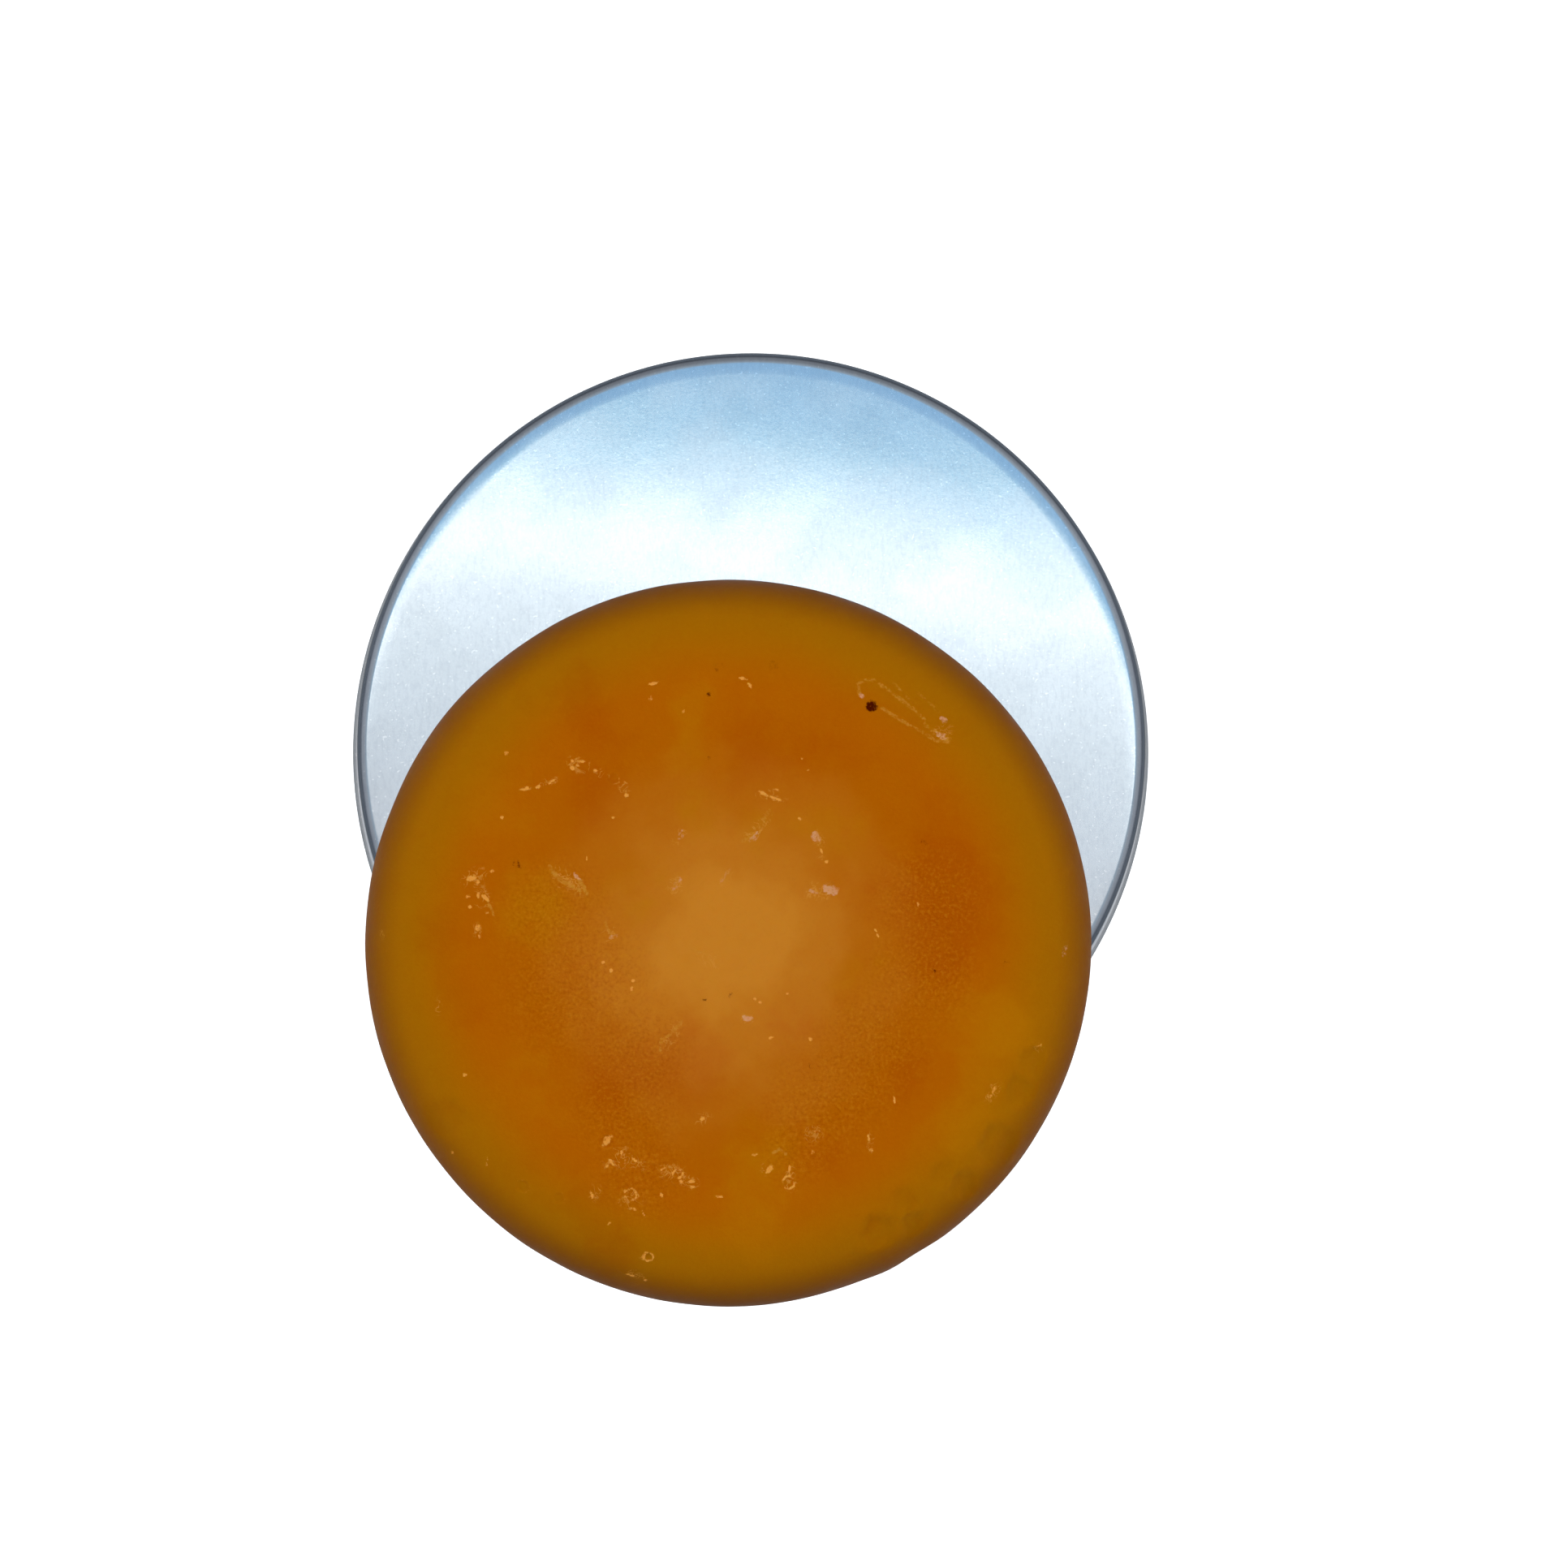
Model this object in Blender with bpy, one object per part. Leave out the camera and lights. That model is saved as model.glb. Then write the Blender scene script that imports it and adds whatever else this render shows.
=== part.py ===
"""A puck of shaving soap lying on the lid of its closed screw-top aluminium tin.

The frame is +Z up with its origin at the centre of the tin's flat bottom. The tin
stands on z = 0 with its axis on Z. The puck lies on the lid, off the axis.
The lid unscrews: a turn about +Z lifts it by THREAD_PITCH. The foam liner lies in it.
"""

import math

import bmesh
import bpy
from mathutils import Vector

MM = 0.001

# Driving sizes.
TIN_RADIUS = 41.5 * MM  # outside of the lid's skirt and of the base's body
TIN_HEIGHT = 28.0 * MM  # closed, without the puck
LID_HEIGHT = 13.0 * MM
SHEET = 0.4 * MM  # wall of the lid and of the base
LID_CORNER = 1.3 * MM  # outside radius where the top turns into the skirt
HEM_PROUD = 1.75 * MM  # how far the lid's rolled hem stands out of the skirt
BASE_CORNER = 2.5 * MM  # outside radius at the bottom of the base
SHOULDER_HEIGHT = 1.6 * MM  # where the base's body narrows to its neck
MOUTH_BEAD = 0.65 * MM  # radius of the rolled rim of the base
LINER_THICKNESS = 1.5 * MM
THREAD_PITCH = 3.0 * MM
THREAD_HEIGHT = 0.6 * MM
THREAD_WIDTH = 1.1 * MM
THREAD_FLANK = 0.75  # share of its height that a thread has a quarter width off its crest
PUCK_RADIUS = 36.25 * MM
PUCK_HEIGHT = 22.0 * MM
PUCK_TOP_EDGE = 8.0 * MM  # radius of the top edge
PUCK_BOTTOM_EDGE = 3.0 * MM
PUCK_CROWN = 0.4 * MM  # how far the top's centre stands above its edge
PUCK_OFFSET = Vector((-2.4 * MM, -20.5 * MM))  # from the tin's axis

# Clearances.
REST_GAP = 0.3 * MM  # between pieces that touch
LINER_SIDE_GAP = 0.5 * MM  # from the liner's edge to the skirt
THREAD_RADIAL_GAP = 0.3 * MM  # from a thread's crest to the wall that it faces

# Fineness of the round shapes.
SEGMENTS = 64
ARC_STEP = math.radians(22)  # largest turn between two points of a turned outline
RUN_OUT_STEPS = 5  # segments over which a thread sinks into its wall
RUN_OUT_END = 0.15  # share of a thread's height that is left at its very end
SHARP_ANGLE = math.radians(35)

# Sizes that follow from the ones above.
LID_INNER = TIN_RADIUS - SHEET
LID_BOTTOM = TIN_HEIGHT - LID_HEIGHT
LID_CEILING = TIN_HEIGHT - SHEET
HEM_RADIUS = (HEM_PROUD + SHEET) / 2
HEM_TOP = LID_BOTTOM + 2 * HEM_RADIUS
LINER_TOP = LID_CEILING - REST_GAP
LINER_BOTTOM = LINER_TOP - LINER_THICKNESS
LINER_RADIUS = LID_INNER - LINER_SIDE_GAP
NECK_RADIUS = LID_INNER - THREAD_RADIAL_GAP - THREAD_HEIGHT
RIM_TOP = LINER_BOTTOM - REST_GAP
MOUTH_BOTTOM = RIM_TOP - 2 * MOUTH_BEAD
SHOULDER_TOP = LID_BOTTOM - REST_GAP
PUCK_BOTTOM = TIN_HEIGHT + REST_GAP

# The lid's thread starts just above its hem and runs half a pitch below the base's.
# The engaged turns are the whole quarter turns that fit between hem and mouth.
LID_THREAD_START = HEM_TOP + REST_GAP + THREAD_WIDTH / 2
BASE_THREAD_ROOM = MOUTH_BOTTOM - THREAD_WIDTH / 2 - LID_THREAD_START - THREAD_PITCH / 2
ENGAGED_TURNS = math.floor(4 * BASE_THREAD_ROOM / THREAD_PITCH) / 4
THREAD_LEAD = 0.25  # turns of the base's thread below the lid's lower end
THREAD_EMBED = SHEET / 2  # how deep a thread is rooted in its wall


def remove_everything():
    for scene_object in list(bpy.data.objects):
        bpy.data.objects.remove(scene_object, do_unlink=True)


def arc(centre_r, centre_z, radius, start_deg, end_deg):
    """Points of an outline along an arc, ends included."""
    start = math.radians(start_deg)
    turn = math.radians(end_deg) - start
    steps = max(1, math.ceil(abs(turn) / ARC_STEP - 0.001))
    return [
        (
            centre_r + radius * math.cos(start + turn * step / steps),
            centre_z + radius * math.sin(start + turn * step / steps),
        )
        for step in range(steps + 1)
    ]


def smooth_step(share):
    return share * share * (3 - 2 * share)


def material(name, colour, roughness, metallic):
    made = bpy.data.materials.new(name)
    made.use_nodes = True
    shader = made.node_tree.nodes["Principled BSDF"]
    shader.inputs["Base Color"].default_value = (*colour, 1.0)
    shader.inputs["Roughness"].default_value = roughness
    shader.inputs["Metallic"].default_value = metallic
    return made


def finished(name, mesh_in_work, finish):
    """Turns a bmesh into a named object with its material, smooth on round faces."""
    bmesh.ops.recalc_face_normals(mesh_in_work, faces=mesh_in_work.faces)
    mesh = bpy.data.meshes.new(name)
    mesh_in_work.to_mesh(mesh)
    mesh_in_work.free()
    mesh.shade_smooth()
    mesh.set_sharp_from_angle(angle=SHARP_ANGLE)
    made = bpy.data.objects.new(name, mesh)
    bpy.context.scene.collection.objects.link(made)
    if finish is not None:
        mesh.materials.append(finish)
    return made


def turned(name, outline, finish):
    """A body turned about Z from an outline that starts and ends on the axis."""
    work = bmesh.new()
    corners = [work.verts.new((r, 0.0, z)) for r, z in outline]
    edges = [work.edges.new(pair) for pair in zip(corners, corners[1:])]
    bmesh.ops.spin(
        work,
        geom=corners + edges,
        axis=(0, 0, 1),
        cent=(0, 0, 0),
        angle=math.tau,
        steps=SEGMENTS,
        use_merge=True,
    )
    bmesh.ops.remove_doubles(work, verts=work.verts, dist=0.001 * MM)
    return finished(name, work, finish)


def thread_ridge(name, wall_radius, outward, start_z, first_turn, turns):
    """A right-hand ridge on a wall, sunk into the wall at both ends.

    outward is 1 for a ridge that stands outside its wall and -1 for one inside it.
    start_z is its height at turn 0, and it runs from first_turn for so many turns.
    """
    root = wall_radius - outward * THREAD_EMBED
    flank = wall_radius + outward * THREAD_FLANK * THREAD_HEIGHT
    section = [
        (root, -THREAD_WIDTH / 2),
        (wall_radius, -THREAD_WIDTH / 2),
        (flank, -THREAD_WIDTH / 4),
        (wall_radius + outward * THREAD_HEIGHT, 0.0),
        (flank, THREAD_WIDTH / 4),
        (wall_radius, THREAD_WIDTH / 2),
        (root, THREAD_WIDTH / 2),
    ]
    steps = round(SEGMENTS * turns)
    heading = first_turn * math.tau
    low_z = start_z + first_turn * THREAD_PITCH
    work = bmesh.new()
    corners = [
        work.verts.new((r * math.cos(heading), r * math.sin(heading), low_z + dz))
        for r, dz in section
    ]
    loop = [work.edges.new(pair) for pair in zip(corners, corners[1:] + corners[:1])]
    bmesh.ops.spin(
        work,
        geom=corners + loop,
        axis=(0, 0, 1),
        cent=(0, 0, 0),
        dvec=(0, 0, THREAD_PITCH / SEGMENTS),
        angle=math.tau * turns,
        steps=steps,
    )
    work.verts.ensure_lookup_table()
    for number, corner in enumerate(work.verts):
        step = number // len(section)
        from_end = min(step, steps - step)
        share = smooth_step(min(1.0, from_end / RUN_OUT_STEPS))
        left = RUN_OUT_END + (1 - RUN_OUT_END) * share
        radius = math.hypot(corner.co.x, corner.co.y)
        pulled = (root + (radius - root) * left) / radius
        corner.co.x *= pulled
        corner.co.y *= pulled
    bmesh.ops.holes_fill(work, edges=work.edges, sides=0)
    ridge = finished(name, work, None)
    ridge.hide_render = True
    ridge.display_type = "WIRE"
    return ridge


def add_ridge(wall, ridge):
    """Joins a thread to its wall."""
    union = wall.modifiers.new("thread", "BOOLEAN")
    union.operation = "UNION"
    union.solver = "EXACT"
    union.object = ridge


def make_lid(finish):
    """Flat top, skirt, inner thread and a hem rolled outward at the lower edge."""
    inner_corner = LID_CORNER - SHEET
    hem_centre = LID_INNER + HEM_RADIUS
    hem_z = LID_BOTTOM + HEM_RADIUS
    hem_start = math.degrees(math.acos((TIN_RADIUS - hem_centre) / HEM_RADIUS))
    outline = [(0.0, TIN_HEIGHT)]
    outline += arc(TIN_RADIUS - LID_CORNER, TIN_HEIGHT - LID_CORNER, LID_CORNER, 90, 0)
    outline += arc(hem_centre, hem_z, HEM_RADIUS, hem_start, -180)
    outline += arc(
        LID_INNER - inner_corner, LID_CEILING - inner_corner, inner_corner, 0, 90
    )
    outline += [(0.0, LID_CEILING)]
    lid = turned("tin_lid", outline, finish)
    ridge = thread_ridge(
        "lid_thread", LID_INNER, -1, LID_THREAD_START, 0.0, ENGAGED_TURNS + THREAD_LEAD
    )
    add_ridge(lid, ridge)
    return lid


def make_base(finish):
    """Cup with a flat bottom, a threaded neck and a rim rolled inward."""
    inner_corner = BASE_CORNER - SHEET
    rim_centre = NECK_RADIUS - MOUTH_BEAD
    rim_z = RIM_TOP - MOUTH_BEAD
    rim_end = 360 - math.degrees(math.acos((MOUTH_BEAD - SHEET) / MOUTH_BEAD))
    shoulder_steps = 4
    shoulder = [
        (
            TIN_RADIUS + (NECK_RADIUS - TIN_RADIUS) * smooth_step(i / shoulder_steps),
            SHOULDER_TOP - SHOULDER_HEIGHT * (1 - i / shoulder_steps),
        )
        for i in range(shoulder_steps + 1)
    ]
    outline = [(0.0, 0.0)]
    outline += arc(TIN_RADIUS - BASE_CORNER, BASE_CORNER, BASE_CORNER, -90, 0)
    outline += shoulder
    outline += arc(rim_centre, rim_z, MOUTH_BEAD, 0, rim_end)
    outline += [(r - SHEET, z) for r, z in reversed(shoulder)]
    outline += arc(
        TIN_RADIUS - SHEET - inner_corner, SHEET + inner_corner, inner_corner, 0, -90
    )
    outline += [(0.0, SHEET)]
    base = turned("tin_base", outline, finish)
    ridge = thread_ridge(
        "base_thread",
        NECK_RADIUS,
        1,
        LID_THREAD_START + THREAD_PITCH / 2,
        -THREAD_LEAD,
        ENGAGED_TURNS + THREAD_LEAD,
    )
    add_ridge(base, ridge)
    return base


def make_liner(finish):
    """Plain foam disc."""
    outline = [
        (0.0, LINER_BOTTOM),
        (LINER_RADIUS, LINER_BOTTOM),
        (LINER_RADIUS, LINER_TOP),
        (0.0, LINER_TOP),
    ]
    return turned("lid_liner", outline, finish)


def make_puck(finish):
    """Poured puck: big round top edge, small bottom edge, top a little crowned."""
    edge_z = PUCK_HEIGHT - PUCK_CROWN - PUCK_TOP_EDGE
    flat_radius = PUCK_RADIUS - PUCK_TOP_EDGE
    crown_steps = 3
    crown = [
        (
            flat_radius * (1 - i / crown_steps),
            PUCK_HEIGHT - PUCK_CROWN * (1 - i / crown_steps) ** 2,
        )
        for i in range(1, crown_steps + 1)
    ]
    outline = [(0.0, 0.0)]
    outline += arc(
        PUCK_RADIUS - PUCK_BOTTOM_EDGE, PUCK_BOTTOM_EDGE, PUCK_BOTTOM_EDGE, -90, 0
    )
    outline += arc(flat_radius, edge_z, PUCK_TOP_EDGE, 0, 90)
    outline += crown
    puck = turned("soap_puck", outline, finish)
    puck.location = (*PUCK_OFFSET, PUCK_BOTTOM)
    return puck


def main():
    remove_everything()
    aluminium = (0.72, 0.74, 0.77)
    make_base(material("base_aluminium", aluminium, 0.38, 1.0))
    make_lid(material("lid_aluminium", aluminium, 0.34, 1.0))
    make_liner(material("liner_foam", (0.86, 0.86, 0.84), 0.85, 0.0))
    make_puck(material("glycerin_soap", (0.47, 0.17, 0.02), 0.3, 0.0))


main()
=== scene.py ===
"""A worn puck of amber shaving soap on the lid of its screw-top aluminium tin."""

import math

import bmesh
import bpy
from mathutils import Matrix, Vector, kdtree, noise


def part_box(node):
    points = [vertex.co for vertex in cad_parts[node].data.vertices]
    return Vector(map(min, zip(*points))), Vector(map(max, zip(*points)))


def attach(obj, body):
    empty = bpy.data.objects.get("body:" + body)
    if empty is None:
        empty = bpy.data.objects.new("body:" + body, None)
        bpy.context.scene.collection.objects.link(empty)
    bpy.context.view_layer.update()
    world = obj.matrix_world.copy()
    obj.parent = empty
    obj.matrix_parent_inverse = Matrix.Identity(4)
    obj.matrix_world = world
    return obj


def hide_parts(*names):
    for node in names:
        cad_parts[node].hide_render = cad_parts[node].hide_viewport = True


bl_info = {
    "name": "Shaving Soap Puck and Tin",
    "version": (1, 0, 0),
    "blender": (4, 5, 0),
    "location": "3D View > Sidebar > Soap Tin",
    "description": "Builds a glycerin shaving soap puck and its screw-top aluminium tin",
    "category": "Object",
}

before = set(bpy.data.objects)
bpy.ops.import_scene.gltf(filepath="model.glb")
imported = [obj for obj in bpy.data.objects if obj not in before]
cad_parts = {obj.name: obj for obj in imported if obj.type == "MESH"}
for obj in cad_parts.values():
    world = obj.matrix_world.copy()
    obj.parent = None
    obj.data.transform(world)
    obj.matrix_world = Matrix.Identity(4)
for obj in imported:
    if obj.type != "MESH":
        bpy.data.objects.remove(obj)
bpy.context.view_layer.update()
MM = 0.001
CLEARANCE = 0.3 * MM  # gap between pieces, and between hem and thread

LID_LOW, LID_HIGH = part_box("tin_lid")
BASE_LOW, BASE_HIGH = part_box("tin_base")
LINER_LOW, LINER_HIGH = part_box("lid_liner")
PUCK_LOW, PUCK_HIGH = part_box("soap_puck")
PUCK_AXIS = (PUCK_LOW + PUCK_HIGH) / 2
PUCK_RADIUS = (PUCK_HIGH.x - PUCK_LOW.x) / 2

SEGMENTS = 256
PUCK_SEGMENTS = 288
WALL_STEP = 0.14 * MM  # height of the faces that carry a thread
TOUCH = 0.01 * MM  # slack when a vertex is tested against a surface


# ---------------------------------------------------------------- sizes and colours


class SoapTinMetal(bpy.types.PropertyGroup):
    """Sizes and colour of the lid and the base."""

    sheet: bpy.props.FloatProperty(
        name="Sheet", description="Thickness of the aluminium", default=0.4 * MM, unit="LENGTH"
    )
    hem_proud: bpy.props.FloatProperty(
        name="Hem", description="How far the hem stands out", default=1.75 * MM, unit="LENGTH"
    )
    lid_corner: bpy.props.FloatProperty(
        name="Lid corner", description="Outside radius of the lid's edge", default=1.3 * MM, unit="LENGTH"
    )
    base_corner: bpy.props.FloatProperty(
        name="Base corner", description="Outside radius of the bottom edge", default=2.5 * MM, unit="LENGTH"
    )
    shoulder: bpy.props.FloatProperty(
        name="Shoulder", description="Height over which the base narrows", default=1.6 * MM, unit="LENGTH"
    )
    mouth_bead: bpy.props.FloatProperty(
        name="Mouth bead", description="Radius of the rolled rim", default=0.65 * MM, unit="LENGTH"
    )
    pitch: bpy.props.FloatProperty(
        name="Thread pitch", description="Rise of the thread in one turn", default=3.0 * MM, unit="LENGTH"
    )
    thread_height: bpy.props.FloatProperty(
        name="Thread height", description="How far the thread stands out", default=0.6 * MM, unit="LENGTH"
    )
    thread_width: bpy.props.FloatProperty(
        name="Thread width", description="Full width of the thread", default=1.1 * MM, unit="LENGTH"
    )
    thread_turns: bpy.props.FloatProperty(
        name="Thread turns", description="Length of each thread in turns", default=1.5
    )
    colour: bpy.props.FloatVectorProperty(
        name="Aluminium", description="Colour of the metal", subtype="COLOR", default=(0.80, 0.83, 0.86)
    )


class SoapTinSoap(bpy.types.PropertyGroup):
    """Sizes and colours of the puck."""

    top_edge: bpy.props.FloatProperty(
        name="Top edge", description="Radius of the top edge", default=8.0 * MM, unit="LENGTH"
    )
    bottom_edge: bpy.props.FloatProperty(
        name="Bottom edge", description="Radius of the bottom edge", default=3.0 * MM, unit="LENGTH"
    )
    crown: bpy.props.FloatProperty(
        name="Crown", description="Height of the top's centre over its edge", default=0.4 * MM, unit="LENGTH"
    )
    # The pale middle of the top: partly a dry bloom, partly a painted highlight of an overhead lamp.
    bloom_and_highlight: bpy.props.FloatVectorProperty(
        name="Haze", description="Dry bloom in the middle of the top",
        subtype="COLOR", default=(0.54, 0.196, 0.016),
    )
    amber: bpy.props.FloatVectorProperty(
        name="Amber", description="Colour of the soap's top", subtype="COLOR", default=(0.415, 0.102, 0.0002)
    )
    olive: bpy.props.FloatVectorProperty(
        name="Olive", description="Colour of the rounded shoulder",
        subtype="COLOR", default=(0.36, 0.125, 0.0005),
    )
    # Edge: darker brown on the rounded rim, partly the soap's own deeper colour and partly painted shade
    # where the rim turns away from the light.
    edge: bpy.props.FloatVectorProperty(
        name="Edge", description="Colour of the side", subtype="COLOR", default=(0.215, 0.066, 0.0)
    )


class SoapTinStage(bpy.types.PropertyGroup):
    """Camera and light."""

    camera_height: bpy.props.FloatProperty(
        name="Camera height", description="Camera above the lid", default=320 * MM, unit="LENGTH"
    )
    lens: bpy.props.FloatProperty(name="Lens", description="Focal length in millimetres", default=70.06)
    key_power: bpy.props.FloatProperty(
        name="Key power", description="Power of each side softbox", default=1.8, unit="POWER"
    )


# ---------------------------------------------------------------- node trees


class Tree:
    """Short ways to add and join the nodes of one tree."""

    def __init__(self, tree):
        self.tree = tree

    def add(self, kind, sockets=(), **settings):
        made = self.tree.nodes.new(kind)
        for name, value in settings.items():
            setattr(made, name, value)
        for name, value in dict(sockets).items():
            if isinstance(value, bpy.types.NodeSocket):
                self.tree.links.new(value, made.inputs[name])
            else:
                made.inputs[name].default_value = value
        return made

    def math(self, operation, first, second=0.0):
        return self.add("ShaderNodeMath", {0: first, 1: second}, operation=operation).outputs[0]

    def mix(self, share, first, second, blend="MIX"):
        made = self.add("ShaderNodeMix", data_type="RGBA", blend_type=blend, clamp_factor=True)
        for socket, value in ((0, share), (6, first), (7, second)):
            if isinstance(value, bpy.types.NodeSocket):
                self.tree.links.new(value, made.inputs[socket])
            elif socket == 0:
                made.inputs[socket].default_value = value
            else:
                made.inputs[socket].default_value = (*value, 1.0)
        return made.outputs[2]

    def ramp(self, value, stops):
        made = self.add("ShaderNodeValToRGB", {0: value})
        made.color_ramp.interpolation = "EASE"
        elements = made.color_ramp.elements
        while len(elements) < len(stops):
            elements.new(0.5)
        for element, (place, colour) in zip(elements, stops):
            element.position = place
            element.color = (*colour, 1.0)
        return made.outputs[0]

    def span(self, value, low, high, to_low=0.0, to_high=1.0):
        """Maps low to high onto to_low to to_high, with soft ends."""
        made = self.add(
            "ShaderNodeMapRange",
            {"Value": value, "From Min": low, "From Max": high, "To Min": to_low, "To Max": to_high},
            interpolation_type="SMOOTHSTEP",
        )
        return made.outputs[0]

    def noise(self, place, scale, detail=2.0, roughness=0.5, distortion=0.0):
        made = self.add(
            "ShaderNodeTexNoise",
            {"Vector": place, "Scale": scale, "Detail": detail}
            | {"Roughness": roughness, "Distortion": distortion},
        )
        return made.outputs["Fac"]


def new_group(name, inputs, outputs):
    """An empty node group with its named sockets, and its two end nodes."""
    group = bpy.data.node_groups.new(name, "ShaderNodeTree")
    for label, kind, default in inputs:
        socket = group.interface.new_socket(label, in_out="INPUT", socket_type=kind)
        if default is not None:
            socket.default_value = default
    for label, kind in outputs:
        group.interface.new_socket(label, in_out="OUTPUT", socket_type=kind)
    tree = Tree(group)
    return tree, tree.add("NodeGroupInput"), tree.add("NodeGroupOutput")


def grain_group():
    """Fine grain: a rough height and a patchy mask, both from position."""
    found = bpy.data.node_groups.get("surface_grain")
    if found:
        return found
    tree, start, end = new_group(
        "surface_grain",
        [
            ("Position", "NodeSocketVector", None),
            ("Grain Size", "NodeSocketFloat", 0.5 * MM),
            ("Patch Size", "NodeSocketFloat", 10 * MM),
        ],
        [("Height", "NodeSocketFloat"), ("Patches", "NodeSocketFloat")],
    )
    grain_scale = tree.math("DIVIDE", 1.0, start.outputs["Grain Size"])
    patch_scale = tree.math("DIVIDE", 1.0, start.outputs["Patch Size"])
    grain = tree.noise(start.outputs["Position"], grain_scale, 3.0, 0.6)
    patches = tree.noise(start.outputs["Position"], patch_scale, 2.0, 0.5)
    tree.tree.links.new(grain, end.inputs["Height"])
    tree.tree.links.new(tree.span(patches, 0.35, 0.65), end.inputs["Patches"])
    return tree.tree


def start_material(name):
    """A new material, a writer for its node tree, and its shader."""
    made = bpy.data.materials.new(name)
    made.use_nodes = True
    tree = Tree(made.node_tree)
    return made, tree, made.node_tree.nodes["Principled BSDF"]


def add_grain(tree, place, grain_size, patch_size):
    """Adds the shared surface grain with these sizes."""
    group = tree.add("ShaderNodeGroup", node_tree=grain_group())
    tree.tree.links.new(place, group.inputs["Position"])
    group.inputs["Grain Size"].default_value = grain_size
    group.inputs["Patch Size"].default_value = patch_size
    return group


def aluminium_material(name, colour, corner=None):
    """Satin rolled sheet: fine grain and faint clouds; on the lid, painted shade darkens the top corner,
    standing in for the dark room it reflects.
    """
    made, tree, shader = start_material(name)
    place = tree.add("ShaderNodeTexCoord").outputs["Object"]
    fine = add_grain(tree, place, 0.35 * MM, 9 * MM)
    dimples = tree.noise(place, 1 / (1.4 * MM), 1.0, 0.4)
    height = tree.math("MULTIPLY", fine.outputs["Height"], 0.7)
    height = tree.math("ADD", height, tree.math("MULTIPLY", dimples, 0.5))
    bump = tree.add("ShaderNodeBump", {"Height": height, "Strength": 0.35, "Distance": 0.006 * MM})
    tree.tree.links.new(bump.outputs[0], shader.inputs["Normal"])

    cloudy = tree.noise(place, 1 / (6 * MM), 3.0, 0.6)
    tint = tree.mix(tree.span(cloudy, 0.35, 0.7), colour, tuple(c * 0.95 for c in colour))
    drawn = tree.add("ShaderNodeMapping", {"Vector": place})
    drawn.inputs["Scale"].default_value = (1.0, 0.35, 1.0)
    fibres = tree.noise(drawn.outputs[0], 1 / (0.4 * MM), 2.0, 0.65)
    tint = tree.mix(tree.span(fibres, 0.42, 0.66, 0.0, 0.8), tint, (0.92, 0.925, 0.94), "MULTIPLY")
    specks = tree.noise(place, 1 / (0.3 * MM), 0.0)
    tint = tree.mix(tree.span(specks, 0.74, 0.80, 0.0, 0.7), tint, (1.0, 1.0, 1.0))
    # corner gives where the lid's top corner gets painted shade: a darker, bluish base colour standing in for
    # the dark reflection of the room.
    if corner:
        start, end, low, high = corner
        parts = tree.add("ShaderNodeSeparateXYZ", {0: place})
        flat = tree.add("ShaderNodeCombineXYZ", {"X": parts.outputs["X"], "Y": parts.outputs["Y"]})
        reach = tree.add("ShaderNodeVectorMath", {0: flat.outputs[0]}, operation="LENGTH").outputs["Value"]
        painted_dark_rim = tree.span(reach, start, end)
        painted_dark_rim = tree.math("MULTIPLY", painted_dark_rim, tree.span(parts.outputs["Z"], low, high))
        tint = tree.mix(painted_dark_rim, tint, (0.30, 0.34, 0.40), "MULTIPLY")
    tree.tree.links.new(tint, shader.inputs["Base Color"])
    rough = tree.span(fine.outputs["Patches"], 0.0, 1.0, 0.09, 0.11)
    rough = tree.math("ADD", rough, tree.math("MULTIPLY", fine.outputs["Height"], 0.03))
    tree.tree.links.new(rough, shader.inputs["Roughness"])
    shader.inputs["Metallic"].default_value = 1.0
    return made


def foam_material():
    """White closed-cell foam."""
    made, tree, shader = start_material("liner_foam")
    place = tree.add("ShaderNodeTexCoord").outputs["Object"]
    cells = tree.add("ShaderNodeTexVoronoi", {"Vector": place, "Scale": 1 / (0.7 * MM)})
    bump = tree.add(
        "ShaderNodeBump", {"Height": cells.outputs["Distance"], "Strength": 0.5, "Distance": 0.06 * MM}
    )
    bump.invert = True
    tree.tree.links.new(bump.outputs[0], shader.inputs["Normal"])
    tint = tree.mix(
        tree.span(cells.outputs["Distance"], 0.0, 0.7), (0.90, 0.90, 0.88), (0.78, 0.78, 0.76)
    )
    tree.tree.links.new(tint, shader.inputs["Base Color"])
    shader.inputs["Roughness"].default_value = 0.8
    shader.inputs["Sheen Weight"].default_value = 0.1
    return made


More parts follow.
